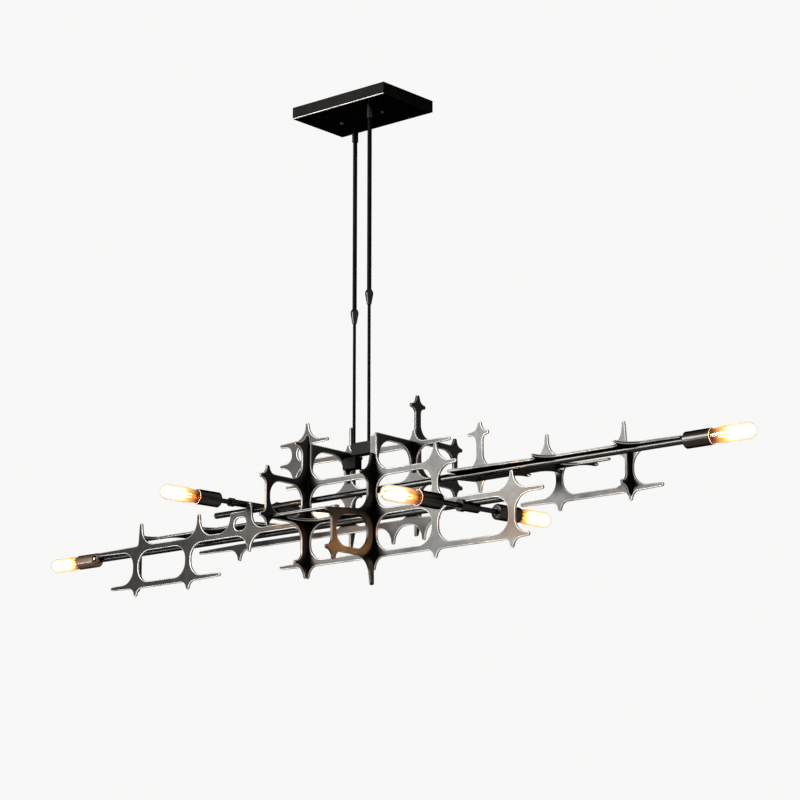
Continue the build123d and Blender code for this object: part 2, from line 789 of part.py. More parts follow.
# Lampholder inserts: one insulating body in each cover, bored for the lamp cap
with BuildPart() as lampholder_inserts:
    for back, way, stem in lamps.values():
        with BuildSketch(axis_plane(back, way)):
            with BuildLine():
                Polyline(
                    (0, socket_back_wall),
                    (socket_bore - fit_clearance, socket_back_wall),
                    (socket_bore - fit_clearance, socket_back_wall + insert_length),
                    (insert_bore, socket_back_wall + insert_length),
                    (insert_bore, socket_back_wall + insert_floor),
                    (0, socket_back_wall + insert_floor),
                    close=True,
                )
            make_face()
        revolve(axis=Axis(back, way))
save(lampholder_inserts.part, "lampholder_inserts")

# Lamps: screw cap, blown tubular glass and the filament on its stem
cap_foot = socket_back_wall + insert_floor + sliding_clearance
cap_radius = insert_bore - sliding_clearance
cap_top = cap_foot + cap_length
shoulder = cap_top + bulb_shoulder
neck_radius = socket_bore - bulb_mouth_gap
dome_foot = bulb_reach - bulb_radius
for name, (back, way, stem) in lamps.items():
    lamp_axis = Axis(back, way)
    lamp_plane = axis_plane(back, way)
    with BuildPart() as bulb_cap:
        with BuildSketch(lamp_plane):
            with BuildLine():
                Polyline(
                    (0, cap_foot),
                    (cap_tip_radius, cap_foot),
                    (cap_radius, cap_foot + cap_radius - cap_tip_radius),
                    (cap_radius, cap_top),
                    (0, cap_top),
                    close=True,
                )
            make_face()
        revolve(axis=lamp_axis)
    save(bulb_cap.part, f"bulb_cap_{name}")

    with BuildPart() as bulb_glass:
        with BuildSketch(lamp_plane):
            for wall, mode in ((0, Mode.ADD), (glass_wall, Mode.SUBTRACT)):
                side_radius = bulb_radius - wall
                with BuildLine():
                    Polyline(
                        (0, cap_top),
                        (bulb_foot_radius - wall, cap_top),
                        (neck_radius - wall, shoulder),
                        (side_radius, shoulder + bulb_taper),
                        (side_radius, dome_foot),
                    )
                    RadiusArc((side_radius, dome_foot), (0, bulb_reach - wall), -side_radius)
                    Line((0, bulb_reach - wall), (0, cap_top))
                make_face(mode=mode)
        revolve(axis=lamp_axis)
    save(bulb_glass.part, f"bulb_glass_{name}")

    with BuildPart() as filament:
        with BuildSketch(lamp_plane):
            with Locations((0, cap_top + stem_length / 2)):
                Rectangle(2 * stem_radius, stem_length)
            split(bisect_by=Plane.YZ, keep=Keep.TOP)
        revolve(axis=lamp_axis)
        stem_top = back + way * (cap_top + stem_length - filament_seat)
        with BuildSketch(Plane(origin=stem_top, x_dir=(0, 0, 1), z_dir=way)):
            with Locations((filament_spread, 0), (-filament_spread, 0)):
                Circle(filament_radius)
        extrude(amount=filament_length)
        for reach in (2 * filament_radius, filament_length):
            with BuildSketch(axis_plane(stem_top, way)):
                with Locations((0, reach - filament_radius)):
                    Rectangle(2 * filament_spread, 2 * filament_radius)
            extrude(amount=filament_radius, both=True)
    save(filament.part, f"bulb_filament_{name}")
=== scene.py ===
"""Looks of a long iron chandelier: blackened plates and tubes, telescopic rods and lit tubular lamps."""

import json
from math import pi, radians

import bmesh
import bpy
from mathutils import Matrix, Vector

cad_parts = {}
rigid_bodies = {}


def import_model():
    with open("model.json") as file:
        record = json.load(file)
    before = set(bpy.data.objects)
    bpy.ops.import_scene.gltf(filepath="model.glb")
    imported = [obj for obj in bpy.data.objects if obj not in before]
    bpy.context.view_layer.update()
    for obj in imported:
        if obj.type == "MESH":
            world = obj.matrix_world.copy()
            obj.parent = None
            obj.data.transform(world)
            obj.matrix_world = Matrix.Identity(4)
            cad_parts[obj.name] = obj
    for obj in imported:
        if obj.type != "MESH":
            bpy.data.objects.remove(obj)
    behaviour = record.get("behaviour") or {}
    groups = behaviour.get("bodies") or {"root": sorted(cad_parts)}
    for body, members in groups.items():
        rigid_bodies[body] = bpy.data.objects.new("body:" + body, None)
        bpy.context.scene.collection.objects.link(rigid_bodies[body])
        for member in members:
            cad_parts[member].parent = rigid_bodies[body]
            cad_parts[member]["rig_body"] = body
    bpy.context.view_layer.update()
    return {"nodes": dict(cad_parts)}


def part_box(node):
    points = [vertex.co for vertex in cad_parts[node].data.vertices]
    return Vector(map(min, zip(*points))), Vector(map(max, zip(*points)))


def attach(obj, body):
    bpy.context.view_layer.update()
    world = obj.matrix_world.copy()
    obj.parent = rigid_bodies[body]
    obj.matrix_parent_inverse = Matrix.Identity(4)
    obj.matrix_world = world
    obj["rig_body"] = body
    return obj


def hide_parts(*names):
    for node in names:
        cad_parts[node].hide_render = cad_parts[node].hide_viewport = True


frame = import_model()
nodes = frame["nodes"]


# Canopy cover: a shallow tray folded from iron sheet, blackened in a bath and waxed. The bath leaves
# a cloudy grain and the wax a satin sheen. The long lower folds carry a painted highlight, a thin line
# of bright metal tone.
def clouded_metal(name, deep, worn, smooth, rough, grain, pitting):
    """Metal with a cloudy tone, a fine grain in its gloss and slight pits."""
    material = bpy.data.materials.new(name)
    material.use_nodes = True
    tree = material.node_tree
    shader = tree.nodes["Principled BSDF"]
    shader.inputs["Metallic"].default_value = 1.0
    shader.inputs["Specular Tint"].default_value = (0.16, 0.155, 0.15, 1.0)
    place = tree.nodes.new("ShaderNodeTexCoord")
    clouds = tree.nodes.new("ShaderNodeTexNoise")
    clouds.inputs["Scale"].default_value = 11.0
    clouds.inputs["Detail"].default_value = 7.0
    clouds.inputs["Roughness"].default_value = 0.6
    tree.links.new(place.outputs["Object"], clouds.inputs["Vector"])
    tone = tree.nodes.new("ShaderNodeValToRGB")
    tone.color_ramp.elements[0].position = 0.34
    tone.color_ramp.elements[0].color = (*deep, 1.0)
    tone.color_ramp.elements[1].position = 0.68
    tone.color_ramp.elements[1].color = (*worn, 1.0)
    tree.links.new(clouds.outputs["Fac"], tone.inputs["Fac"])
    tree.links.new(tone.outputs["Color"], shader.inputs["Base Color"])
    ground = tree.nodes.new("ShaderNodeTexNoise")
    ground.inputs["Scale"].default_value = grain
    ground.inputs["Detail"].default_value = 8.0
    ground.inputs["Roughness"].default_value = 0.62
    tree.links.new(place.outputs["Object"], ground.inputs["Vector"])
    sheen = tree.nodes.new("ShaderNodeMapRange")
    sheen.inputs["From Min"].default_value = 0.3
    sheen.inputs["From Max"].default_value = 0.7
    sheen.inputs["To Min"].default_value = smooth
    sheen.inputs["To Max"].default_value = rough
    tree.links.new(ground.outputs["Fac"], sheen.inputs["Value"])
    tree.links.new(sheen.outputs["Result"], shader.inputs["Roughness"])
    bump = tree.nodes.new("ShaderNodeBump")
    bump.inputs["Strength"].default_value = pitting
    bump.inputs["Distance"].default_value = 0.0006
    tree.links.new(ground.outputs["Fac"], bump.inputs["Height"])
    tree.links.new(bump.outputs["Normal"], shader.inputs["Normal"])
    return material


def edge_highlight_metal(name, black, highlight_tone):
    """Painted highlight for eased edges: a bright metal tone broken by patches of black."""
    material = bpy.data.materials.new(name)
    material.use_nodes = True
    tree = material.node_tree
    shader = tree.nodes["Principled BSDF"]
    shader.inputs["Metallic"].default_value = 1.0
    shader.inputs["Roughness"].default_value = 0.4
    place = tree.nodes.new("ShaderNodeTexCoord")
    patches = tree.nodes.new("ShaderNodeTexNoise")
    patches.inputs["Scale"].default_value = 26.0
    patches.inputs["Detail"].default_value = 6.0
    tree.links.new(place.outputs["Object"], patches.inputs["Vector"])
    tone = tree.nodes.new("ShaderNodeValToRGB")
    tone.color_ramp.elements[0].position = 0.3
    tone.color_ramp.elements[0].color = (*black, 1.0)
    tone.color_ramp.elements[1].position = 0.48
    tone.color_ramp.elements[1].color = (*highlight_tone, 1.0)
    tree.links.new(patches.outputs["Fac"], tone.inputs["Fac"])
    tree.links.new(tone.outputs["Color"], shader.inputs["Base Color"])
    return material


same_corner = 0.00001
seam_reach = 0.0001
flat_turn = radians(0.5)
smooth_turn = radians(40)
sharp_turn = radians(50)


def finished(name, slot, edge, *finishes, seams=()):
    """Copy a node, join its loose corners and ease its sharp edges, which take the last finish.

    Edges across a weld seam, given by its X, stay as they are."""
    bpy.ops.object.select_all(action="DESELECT")
    nodes[name].select_set(True)
    bpy.context.view_layer.objects.active = nodes[name]
    bpy.ops.object.duplicate()
    piece = bpy.context.active_object
    piece.name = f"{name}_finished"
    bpy.ops.object.mode_set(mode="EDIT")
    bpy.ops.mesh.select_all(action="SELECT")
    bpy.ops.mesh.remove_doubles(threshold=same_corner)
    bpy.ops.mesh.dissolve_limited(angle_limit=flat_turn)
    bpy.ops.object.mode_set(mode="OBJECT")
    piece.data.materials.clear()
    for finish in finishes:
        piece.data.materials.append(finish)
    if edge:
        shape = bmesh.new()
        shape.from_mesh(piece.data)
        ease = shape.edges.layers.float.new("bevel_weight_edge")
        for line in shape.edges:
            on_seam = any(all(abs(end.co.x - seam) < seam_reach for end in line.verts) for seam in seams)
            line[ease] = float(line.calc_face_angle(0.0) > sharp_turn and not on_seam)
        shape.to_mesh(piece.data)
        shape.free()
        easing = piece.modifiers.new("eased_edge", "BEVEL")
        easing.width = edge
        easing.segments = 2
        easing.limit_method = "WEIGHT"
        easing.material = len(finishes) - 1
        bpy.ops.object.modifier_apply(modifier="eased_edge")
    bpy.ops.object.shade_smooth_by_angle(angle=smooth_turn)
    flatness = piece.modifiers.new("flat_faces", "WEIGHTED_NORMAL")
    flatness.keep_sharp = True
    bpy.ops.object.modifier_apply(modifier="flat_faces")
    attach(piece, nodes[name]["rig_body"])
    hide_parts(name)
    return piece


canopy_black = clouded_metal(
    "canopy_black",
    deep=(0.0045, 0.0044, 0.0042),
    worn=(0.009, 0.0087, 0.0084),
    smooth=0.3,
    rough=0.42,
    grain=300.0,
    pitting=0.05,
)
fold_highlight = edge_highlight_metal("fold_highlight", black=(0.2, 0.195, 0.185), highlight_tone=(0.3, 0.292, 0.277))
canopy_edge = 0.0022
fold_highlight_lean = 0.2
canopy = finished("canopy_cover", "black_paint", canopy_edge, canopy_black)
canopy.data.materials.append(fold_highlight)
# Painted highlight: the eased lower folds that face front or back take the bright fold tone.
for face in canopy.data.polygons:
    if face.normal.z < -fold_highlight_lean and abs(face.normal.y) > fold_highlight_lean:
        face.material_index = 1

# Strap and locknuts: zinc-plated steel inside the canopy, bright and slightly clouded. The strap is
# bolted to the ceiling box and the nuts hold the rods.
zinc = clouded_metal(
    "zinc_steel",
    deep=(0.50, 0.51, 0.53),
    worn=(0.64, 0.65, 0.66),
    smooth=0.25,
    rough=0.4,
    grain=120.0,
    pitting=0.1,
)
zinc_edge = 0.0004
for name in ("mounting_strap", "rod_locknuts"):
    finished(name, "zinc_steel", zinc_edge, zinc)

# Canopy screws, collars and couplers: turned steel, blackened like the canopy and polished a little
# more, so that each shows a small bright streak down its side.
turned_black = clouded_metal(
    "turned_black",
    deep=(0.016, 0.0155, 0.015),
    worn=(0.03, 0.029, 0.028),
    smooth=0.16,
    rough=0.26,
    grain=420.0,
    pitting=0.04,
)
turned_edge = 0.0005
for name in ("canopy_screws", "rod_collars", "rod_couplers"):
    finished(name, "black_paint", turned_edge, turned_black)

# Rods: drawn steel tube above and solid rod below, which slides in it to set the height. Drawing
# leaves them even, without pits, and they are the blackest of all.
rod_black = clouded_metal(
    "rod_black",
    deep=(0.0035, 0.0034, 0.0033),
    worn=(0.0065, 0.0063, 0.006),
    smooth=0.42,
    rough=0.52,
    grain=260.0,
    pitting=0.01,
)
rod_edge = 0.0003
for name in nodes:
    if name.startswith(("upper_rod", "lower_rod")):
        finished(name, "black_paint", rod_edge, rod_black)

# Main tubes and hanger bars: the tubes are steel, blackened and wiped to a gloss, and run the length
# of each arm. The bars are blocks by the webs, as black as the rods that are screwed into them.
tube_black = clouded_metal(
    "tube_black",
    deep=(0.018, 0.0175, 0.0165),
    worn=(0.032, 0.031, 0.029),
    smooth=0.1,
    rough=0.17,
    grain=240.0,
    pitting=0.0,
)
tube_edge = 0.0006
bar_edge = 0.0008
for name in nodes:
    if name.startswith("main_tube"):
        finished(name, "black_iron", tube_edge, tube_black)
    if name.startswith("hanger_bar"):
        finished(name, "black_iron", bar_edge, rod_black)

# Plates: 4 mm iron sheet, cut to thorns and rounded windows and welded along and across the tubes.
# The cut edges are filed, and their eased faces take a bright tone that paints the rim highlights. The
# arms' seams on the middle are ground flush.
weld_seams = (-0.1345, 0.2825)
plate_iron = clouded_metal(
    "plate_iron",
    deep=(0.016, 0.0157, 0.015),
    worn=(0.027, 0.0262, 0.0248),
    smooth=0.27,
    rough=0.35,
    grain=110.0,
    pitting=0.03,
)
# Filed edges: the bright tone on the eased faces is a painted rim highlight.
filed_edge_highlight = edge_highlight_metal("filed_edge_highlight", black=(0.07, 0.068, 0.065), highlight_tone=(0.34, 0.331, 0.314))
plate_edge = 0.0012
for name in nodes:
    plate = name.endswith(("_lattice", "_flange", "_fins", "_shelf"))
    if plate or "_wing_" in name or name.startswith("cross_web"):
        finished(name, "black_iron", plate_edge, plate_iron, filed_edge_highlight, seams=weld_seams)

# Cross arms: each a thin steel rod through a turned hub with a ring, and a lamp at each end. They are
# finished as the other turned pieces are.
for name in nodes:
    if name.startswith(("cross_hub", "cross_rod")):
        finished(name, "black_iron", turned_edge, turned_black)

# Lampholder covers: turned cups in dark bronze-black, smooth from the lathe, but for the left one,
# which is brown. Their eased rims take a bright copper tone, a painted highlight warm from the lamps.
cup_bronze = clouded_metal(
    "cup_bronze",
    deep=(0.026, 0.0235, 0.0215),
    worn=(0.044, 0.0395, 0.0355),
    smooth=0.2,
    rough=0.27,
    grain=420.0,
    pitting=0.02,
)
cup_brown = clouded_metal(
    "cup_brown",
    deep=(0.085, 0.058, 0.046),
    worn=(0.15, 0.105, 0.085),
    smooth=0.28,
    rough=0.38,
    grain=420.0,
    pitting=0.05,
)
# Cup rim: the bright copper tone is a painted highlight on the eased edges, warm from the lamps.
cup_rim_highlight = edge_highlight_metal("cup_rim_highlight", black=(0.1, 0.065, 0.045), highlight_tone=(0.46, 0.31, 0.21))
cup_edge = 0.0007
for name in nodes:
    if name.startswith("socket_"):
        cup_finish = cup_brown if name == "socket_left_end" else cup_bronze
        finished(name, "socket_iron", cup_edge, cup_finish, cup_rim_highlight)

# Clamp screw: a turned bronze screw behind the left cup, which clamps the cup on its tube. Its broad
# head has a raised ring round a dome, and its neck is screwed into the tube.
screw_radius = 0.008
screw_depth = 0.007
screw_sides = 48
screw_place = Vector((-0.65, 0.0307, -0.689))
ring_width = 0.0014
ring_inner = 0.0068
groove_depth = 0.0016
groove_width = 0.0028
dome_wall = 0.0012
dome_slope = 0.0018
dome_rise = 0.0014
dome_glint_radius = 0.0024
neck_inset = 0.0042
neck_length = 0.0045
face_lean = 0.3
end_lean = 0.9
upper = 1.0
lower = -1.0


def pick_end(turned_piece, end):
    """Go into edit mode with only the upper or the lower end of a turned piece selected."""
    bpy.ops.object.mode_set(mode="EDIT")
    bpy.ops.mesh.select_mode(type="FACE")
    bpy.ops.mesh.select_all(action="DESELECT")
    bpy.ops.object.mode_set(mode="OBJECT")
    for face in turned_piece.data.polygons:
        face.select = face.normal.z * end > end_lean
    bpy.ops.object.mode_set(mode="EDIT")


bpy.ops.object.select_all(action="DESELECT")
bpy.ops.mesh.primitive_cylinder_add(vertices=screw_sides, radius=screw_radius, depth=screw_depth)
screw = bpy.context.active_object
screw.name = "clamp_screw"
pick_end(screw, upper)
bpy.ops.mesh.inset(thickness=ring_width)
bpy.ops.mesh.extrude_region_move(TRANSFORM_OT_translate={"value": (0.0, 0.0, -groove_depth)})
bpy.ops.mesh.inset(thickness=groove_width)
bpy.ops.mesh.extrude_region_move(TRANSFORM_OT_translate={"value": (0.0, 0.0, dome_wall)})
bpy.ops.mesh.inset(thickness=dome_slope)
bpy.ops.transform.translate(value=(0.0, 0.0, dome_rise))
pick_end(screw, lower)
bpy.ops.mesh.inset(thickness=neck_inset)
bpy.ops.mesh.extrude_region_move(TRANSFORM_OT_translate={"value": (0.0, 0.0, -neck_length)})
bpy.ops.object.mode_set(mode="OBJECT")
rounding = screw.modifiers.new("rounding", "BEVEL")
rounding.width = turned_edge
rounding.segments = 3
bpy.ops.object.modifier_apply(modifier="rounding")
bpy.ops.object.shade_smooth_by_angle(angle=smooth_turn)
screw.data.materials.append(turned_black)
screw.data.materials.append(cup_brown)
screw.data.materials.append(cup_rim_highlight)
# The sides and ring take the brown finish. A small disc at the middle of the dome takes the bright rim
# tone as a painted glint.
for face in screw.data.polygons:
    from_axis = face.center.xy.length
    if face.normal.z < face_lean or from_axis > ring_inner:
        face.material_index = 1
    elif from_axis < dome_glint_radius:
        face.material_index = 2
facing = Vector((0.0, -1.0, 0.0)).to_track_quat("Z", "Y").to_matrix().to_4x4()
screw.matrix_world = Matrix.Translation(screw_place) @ facing
bpy.ops.object.transform_apply(location=True, rotation=True, scale=True)
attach(screw, "lamp_body")

# Lampholder inserts: moulded insulating bodies that sit down in the cups and take the lamp caps. They
# are matt brown-black and finely speckled.
holder_edge = 0.0003
holder = bpy.data.materials.new("holder_moulding")
holder.use_nodes = True
holder_tree = holder.node_tree
holder_shader = holder_tree.nodes["Principled BSDF"]
holder_shader.inputs["Roughness"].default_value = 0.6
holder_place = holder_tree.nodes.new("ShaderNodeTexCoord")
speckle = holder_tree.nodes.new("ShaderNodeTexNoise")
speckle.inputs["Scale"].default_value = 900.0
speckle.inputs["Detail"].default_value = 3.0
holder_tree.links.new(holder_place.outputs["Object"], speckle.inputs["Vector"])
holder_tone = holder_tree.nodes.new("ShaderNodeValToRGB")
holder_tone.color_ramp.elements[0].color = (0.02, 0.016, 0.013, 1.0)
holder_tone.color_ramp.elements[1].color = (0.055, 0.045, 0.037, 1.0)
holder_tree.links.new(speckle.outputs["Fac"], holder_tone.inputs["Fac"])
holder_tree.links.new(holder_tone.outputs["Color"], holder_shader.inputs["Base Color"])
finished("lampholder_inserts", "lampholder", holder_edge, holder)

# Lamp caps: thin pressed brass, clouded by the heat of the lamps. Each is cemented to its glass and
# screwed into an insert.
cap_edge = 0.0002
cap_brass = clouded_metal(
    "cap_brass",
    deep=(0.42, 0.22, 0.08),
    worn=(0.66, 0.4, 0.17),
    smooth=0.25,
    rough=0.4,
    grain=200.0,
    pitting=0.1,
)
lamps = [name.removeprefix("bulb_cap_") for name in nodes if name.startswith("bulb_cap_")]
for lamp in lamps:
    finished(f"bulb_cap_{lamp}", "bulb_cap", cap_edge, cap_brass)


# Lamp glass: a blown tube with a round end, sealed on the cap and left as it is blown. Lit from inside
# it is amber near the cap and pales towards the tip. Its foot is painted dark brown, a painted
# reflection of the cup's dark inside.
def middle(name):
    """Middle of a node's box."""
    low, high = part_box(name)
    return (low + high) / 2


def lamp_line(lamp):
    """Middle of a lamp's cap, and the way that the lamp points from there."""
    cap_middle = middle(f"bulb_cap_{lamp}")
    way = (middle(f"bulb_glass_{lamp}") - cap_middle).normalized()
    return cap_middle, way


glass_foot = 0.011
glass_tip = 0.099
uneased = 0.0
for lamp in lamps:
    cap_middle, way = lamp_line(lamp)
    lit_glass = bpy.data.materials.new(f"lit_glass_{lamp}")
    lit_glass.use_nodes = True
    glass_tree = lit_glass.node_tree
    glass_shader = glass_tree.nodes["Principled BSDF"]
    glass_shader.inputs["Roughness"].default_value = 0.03
    glass_shader.inputs["IOR"].default_value = 1.45
    glass_shader.inputs["Transmission Weight"].default_value = 1.0
    glass_shader.inputs["Emission Strength"].default_value = 1.0
    glass_place = glass_tree.nodes.new("ShaderNodeTexCoord")
    from_cap = glass_tree.nodes.new("ShaderNodeVectorMath")
    from_cap.operation = "SUBTRACT"
    from_cap.inputs[1].default_value = cap_middle
    glass_tree.links.new(glass_place.outputs["Object"], from_cap.inputs[0])
    along = glass_tree.nodes.new("ShaderNodeVectorMath")
    along.operation = "DOT_PRODUCT"
    along.inputs[1].default_value = way
    glass_tree.links.new(from_cap.outputs["Vector"], along.inputs[0])
    reach = glass_tree.nodes.new("ShaderNodeMapRange")
    reach.inputs["From Min"].default_value = glass_foot
    reach.inputs["From Max"].default_value = glass_tip
    glass_tree.links.new(along.outputs["Value"], reach.inputs["Value"])
    # The dark start of the tint, and of the glow below, is a painted reflection of the cup's dark inside
    # at the foot.
    tint = glass_tree.nodes.new("ShaderNodeValToRGB")
    tint.color_ramp.elements[0].position = 0.23
    tint.color_ramp.elements[0].color = (0.12, 0.03, 0.004, 1.0)
    tint.color_ramp.elements[1].position = 0.9
    tint.color_ramp.elements[1].color = (0.99, 0.97, 0.93, 1.0)
    amber = tint.color_ramp.elements.new(0.34)
    amber.color = (0.92, 0.46, 0.12, 1.0)
    pale = tint.color_ramp.elements.new(0.56)
    pale.color = (0.98, 0.88, 0.68, 1.0)
    glass_tree.links.new(reach.outputs["Result"], tint.inputs["Fac"])
    rim = glass_tree.nodes.new("ShaderNodeLayerWeight")
    rim.inputs["Blend"].default_value = 0.5
    rim_tone = glass_tree.nodes.new("ShaderNodeValToRGB")
    rim_tone.color_ramp.elements[0].position = 0.48
    rim_tone.color_ramp.elements[0].color = (1.0, 1.0, 1.0, 1.0)
    rim_tone.color_ramp.elements[1].position = 0.78
    rim_tone.color_ramp.elements[1].color = (0.3, 0.21, 0.11, 1.0)
    glass_tree.links.new(rim.outputs["Facing"], rim_tone.inputs["Fac"])
    edged = glass_tree.nodes.new("ShaderNodeMix")
    edged.data_type = "RGBA"
    edged.blend_type = "MULTIPLY"
    edged.inputs["Factor"].default_value = 1.0
    glass_tree.links.new(tint.outputs["Color"], edged.inputs["A"])
    glass_tree.links.new(rim_tone.outputs["Color"], edged.inputs["B"])
    glass_tree.links.new(edged.outputs["Result"], glass_shader.inputs["Base Color"])
    glow = glass_tree.nodes.new("ShaderNodeValToRGB")
    glow.color_ramp.elements[0].position = 0.24
    glow.color_ramp.elements[0].color = (0.03, 0.006, 0.0, 1.0)
    glow.color_ramp.elements[1].position = 1.0
    glow.color_ramp.elements[1].color = (0.06, 0.05, 0.035, 1.0)
    orange = glow.color_ramp.elements.new(0.36)
    orange.color = (0.42, 0.17, 0.02, 1.0)
    bright = glow.color_ramp.elements.new(0.55)
    bright.color = (0.34, 0.235, 0.105, 1.0)
    glass_tree.links.new(reach.outputs["Result"], glow.inputs["Fac"])
    shone = glass_tree.nodes.new("ShaderNodeMix")
    shone.data_type = "RGBA"
    shone.blend_type = "MULTIPLY"
    shone.inputs["Factor"].default_value = 1.0
    glass_tree.links.new(glow.outputs["Color"], shone.inputs["A"])
    glass_tree.links.new(rim_tone.outputs["Color"], shone.inputs["B"])
    glass_tree.links.new(shone.outputs["Result"], glass_shader.inputs["Emission Color"])
    ripple = glass_tree.nodes.new("ShaderNodeTexNoise")
    ripple.inputs["Scale"].default_value = 60.0
    glass_tree.links.new(glass_place.outputs["Object"], ripple.inputs["Vector"])
    wave = glass_tree.nodes.new("ShaderNodeBump")
    wave.inputs["Strength"].default_value = 0.06
    wave.inputs["Distance"].default_value = 0.001
    glass_tree.links.new(ripple.outputs["Fac"], wave.inputs["Height"])
    glass_tree.links.new(wave.outputs["Normal"], glass_shader.inputs["Normal"])
    tube = finished(f"bulb_glass_{lamp}", "bulb_glass", uneased, lit_glass)
    tube.visible_shadow = False

# Filament: a long wire strung up and down round a glass stem that flares into the foot of the lamp
# and tapers to a thin post. The wire is white hot, the stem clear.
stem_radius = 0.0024
stem_sides = 24
stem_foot = 0.0112
stem_top = 0.039
stem_taper = 0.004
stem_flare = 2.2
post_share = 0.35
stem_turn = radians(50)
wire_low = 0.037
wire_high = 0.081
wire_round = 0.0034
wire_thick = 0.00035
strands = 10
shine_colour = (1.0, 0.55, 0.24)
shine_watts = 1.0
shine_radius = 0.014
stem_glass = bpy.data.materials.new("stem_glass")
stem_glass.use_nodes = True
stem_tree = stem_glass.node_tree
stem_shader = stem_tree.nodes["Principled BSDF"]
stem_shader.inputs["Roughness"].default_value = 0.05
stem_shader.inputs["IOR"].default_value = 1.45
stem_shader.inputs["Transmission Weight"].default_value = 1.0
stem_place = stem_tree.nodes.new("ShaderNodeTexCoord")
smoke = stem_tree.nodes.new("ShaderNodeTexNoise")
smoke.inputs["Scale"].default_value = 80.0
stem_tree.links.new(stem_place.outputs["Object"], smoke.inputs["Vector"])
stem_tone = stem_tree.nodes.new("ShaderNodeValToRGB")
stem_tone.color_ramp.elements[0].color = (0.9, 0.62, 0.34, 1.0)
stem_tone.color_ramp.elements[1].color = (1.0, 0.86, 0.64, 1.0)
stem_tree.links.new(smoke.outputs["Fac"], stem_tone.inputs["Fac"])
stem_tree.links.new(stem_tone.outputs["Color"], stem_shader.inputs["Base Color"])
hot_wire = bpy.data.materials.new("hot_wire")
hot_wire.use_nodes = True
wire_tree = hot_wire.node_tree
wire_shader = wire_tree.nodes["Principled BSDF"]
wire_shader.inputs["Emission Strength"].default_value = 60.0
wire_place = wire_tree.nodes.new("ShaderNodeTexCoord")
heat = wire_tree.nodes.new("ShaderNodeTexNoise")
heat.inputs["Scale"].default_value = 120.0
wire_tree.links.new(wire_place.outputs["Object"], heat.inputs["Vector"])
heat_tone = wire_tree.nodes.new("ShaderNodeValToRGB")
heat_tone.color_ramp.elements[0].color = (1.0, 0.42, 0.12, 1.0)
heat_tone.color_ramp.elements[1].color = (1.0, 0.56, 0.22, 1.0)
wire_tree.links.new(heat.outputs["Fac"], heat_tone.inputs["Fac"])
wire_tree.links.new(heat_tone.outputs["Color"], wire_shader.inputs["Base Color"])
wire_tree.links.new(heat_tone.outputs["Color"], wire_shader.inputs["Emission Color"])

bpy.ops.object.select_all(action="DESELECT")
bpy.ops.mesh.primitive_circle_add(vertices=strands, radius=wire_round)
wire = bpy.context.active_object
for turn, point in enumerate(wire.data.vertices):
    point.co.z = wire_high if turn % 2 else wire_low
bpy.ops.object.convert(target="CURVE")
wire = bpy.context.active_object
wire.data.bevel_depth = wire_thick
wire.data.bevel_resolution = 2
bpy.ops.object.convert(target="MESH")
wire = bpy.context.active_object
wire.data.materials.append(hot_wire)
bpy.ops.object.select_all(action="DESELECT")
bpy.ops.mesh.primitive_cylinder_add(
    vertices=stem_sides,
    radius=stem_radius,
    depth=stem_top - stem_foot,
    location=(0.0, 0.0, (stem_foot + stem_top) / 2),
)
stem = bpy.context.active_object
bpy.ops.object.transform_apply(location=True)
pick_end(stem, upper)
bpy.ops.mesh.extrude_region_move(TRANSFORM_OT_translate={"value": (0.0, 0.0, stem_taper)})
bpy.ops.transform.resize(value=(post_share, post_share, 1.0), center_override=(0.0, 0.0, stem_top))
post_length = wire_high - stem_top - stem_taper
bpy.ops.mesh.extrude_region_move(TRANSFORM_OT_translate={"value": (0.0, 0.0, post_length)})
pick_end(stem, lower)
bpy.ops.transform.resize(value=(stem_flare, stem_flare, 1.0), center_override=(0.0, 0.0, stem_foot))
bpy.ops.object.mode_set(mode="OBJECT")
stem.data.materials.append(stem_glass)
bpy.ops.object.shade_smooth_by_angle(angle=stem_turn)
wire.select_set(True)
bpy.ops.object.join()
filament_model = bpy.context.active_object

for lamp in lamps:
    cap_middle, way = lamp_line(lamp)
    bpy.ops.object.select_all(action="DESELECT")
    filament_model.select_set(True)
    bpy.context.view_layer.objects.active = filament_model
    bpy.ops.object.duplicate()
    filament = bpy.context.active_object
    filament.name = f"filament_{lamp}"
    turned = way.to_track_quat("Z", "Y").to_matrix().to_4x4()
    filament.matrix_world = Matrix.Translation(cap_middle) @ turned
    bpy.ops.object.transform_apply(location=True, rotation=True, scale=True)
    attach(filament, f"bulb_{lamp}")
    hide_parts(f"bulb_filament_{lamp}")
    shine_data = bpy.data.lights.new(f"shine_{lamp}", "POINT")
    shine_data.color = shine_colour
    shine_data.energy = shine_watts
    shine_data.shadow_soft_size = shine_radius
    shine = bpy.data.objects.new(f"shine_{lamp}", shine_data)
    bpy.context.collection.objects.link(shine)
    shine.location = cap_middle + way * (wire_low + wire_high) / 2
    shine.visible_camera = False
    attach(shine, f"bulb_{lamp}")
bpy.data.objects.remove(filament_model)

# Floor: wide pale studio floor, a room's height under the ceiling, with a faint mottle in the paint.
# It is open from underneath, so that the lamp can be looked at from well below.
floor_drop = -2.4
floor_size = 400.0
bpy.ops.object.select_all(action="DESELECT")
bpy.ops.mesh.primitive_plane_add(size=floor_size, location=(0.0, 0.0, floor_drop))
floor = bpy.context.active_object
floor.name = "studio_floor"
floor_paint = bpy.data.materials.new("floor_paint")
floor_paint.use_nodes = True
floor_tree = floor_paint.node_tree
floor_shader = floor_tree.nodes["Principled BSDF"]
floor_shader.inputs["Roughness"].default_value = 0.8
floor_place = floor_tree.nodes.new("ShaderNodeTexCoord")
mottle = floor_tree.nodes.new("ShaderNodeTexNoise")
mottle.inputs["Scale"].default_value = 0.7
floor_tree.links.new(floor_place.outputs["Object"], mottle.inputs["Vector"])
floor_tone = floor_tree.nodes.new("ShaderNodeValToRGB")
